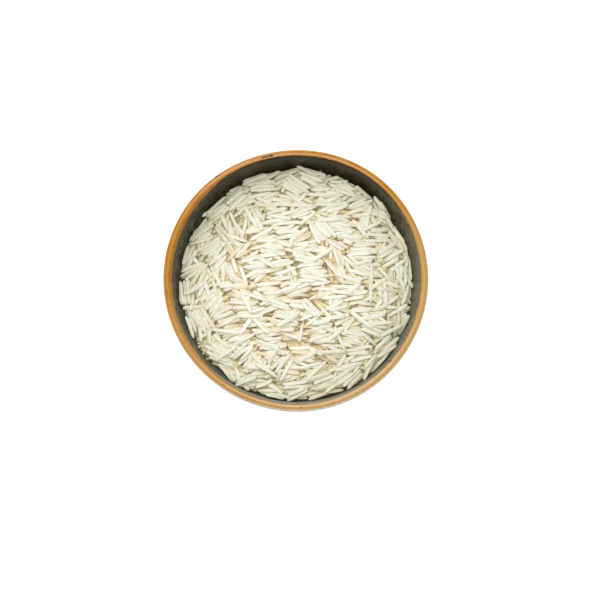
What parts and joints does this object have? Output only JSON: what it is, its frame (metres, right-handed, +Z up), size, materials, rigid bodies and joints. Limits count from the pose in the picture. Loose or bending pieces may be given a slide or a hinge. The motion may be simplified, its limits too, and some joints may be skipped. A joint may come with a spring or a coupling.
{
  "type": "bowl of rice",
  "caption": "Small round stoneware bowl with a footed base and a rounded lip, filled with a low loose mound of dry long-grain rice.",
  "frame": {"origin": "centre of the foot ring, on the table", "axes": "+Z up along the bowl's turning axis; -Y towards the person who looks into the bowl, +X to their right"},
  "size_m": [0.095, 0.095, 0.047],
  "materials": {
    "bowl": "satin",
    "rice": "matte"
  },
  "bodies": {
    "root": {"bowl": "bowl", "rice": "rice"}
  },
  "joints": []
}
